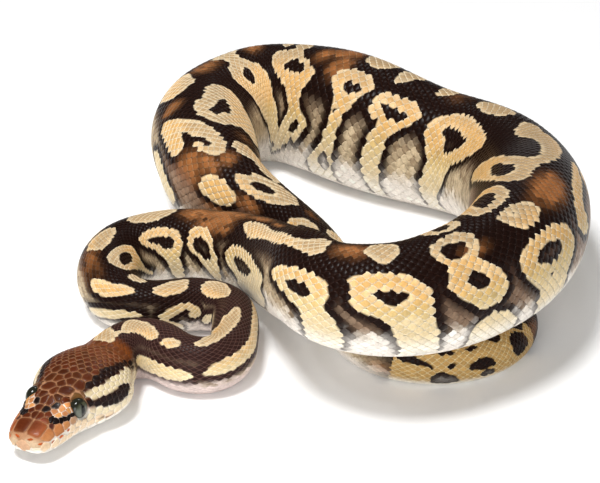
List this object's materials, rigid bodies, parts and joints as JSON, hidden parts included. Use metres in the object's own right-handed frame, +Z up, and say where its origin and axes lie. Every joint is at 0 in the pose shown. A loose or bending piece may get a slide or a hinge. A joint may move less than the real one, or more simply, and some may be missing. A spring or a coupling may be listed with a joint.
{
  "type": "coiled ball python",
  "caption": "Life-size ball python resting in a loose coil, head low on the floor, one coil crossing over the tail.",
  "frame": {"origin": "on the floor, under the middle of the coil", "axes": "+Z up; the longest side of the coil runs along Y; the head lies at -X, -Y and faces -Y"},
  "size_m": [0.1588, 0.2055, 0.0474],
  "materials": {
    "head": "smooth glossy head plates, red-brown, pale along their seams",
    "jaw": "cream lip and chin plates, satin",
    "eye": "wet and glossy under a clear scale, dark grey-green with a black upright pupil",
    "body": "small smooth overlapping scales with a satin sheen, near black with cream and tan blotches",
    "tail": "small smooth overlapping scales with a satin sheen, yellow tan with dark bars"
  },
  "bodies": {
    "root": {"head": "head", "lower_jaw": "jaw", "eye_left": "eye", "eye_right": "eye", "neck_1": "body", "neck_2": "body", "neck_3": "body", "trunk_1": "body", "trunk_2": "body", "trunk_3": "body", "trunk_4": "body", "trunk_5": "body", "trunk_6": "body", "trunk_7": "body", "trunk_8": "body", "trunk_9": "body", "trunk_10": "body", "trunk_11": "body", "trunk_12": "body", "trunk_13": "body", "trunk_14": "body", "trunk_15": "body", "trunk_16": "body", "trunk_17": "body", "tail_1": "tail", "tail_2": "tail", "tail_tip": "tail"}
  },
  "joints": []
}
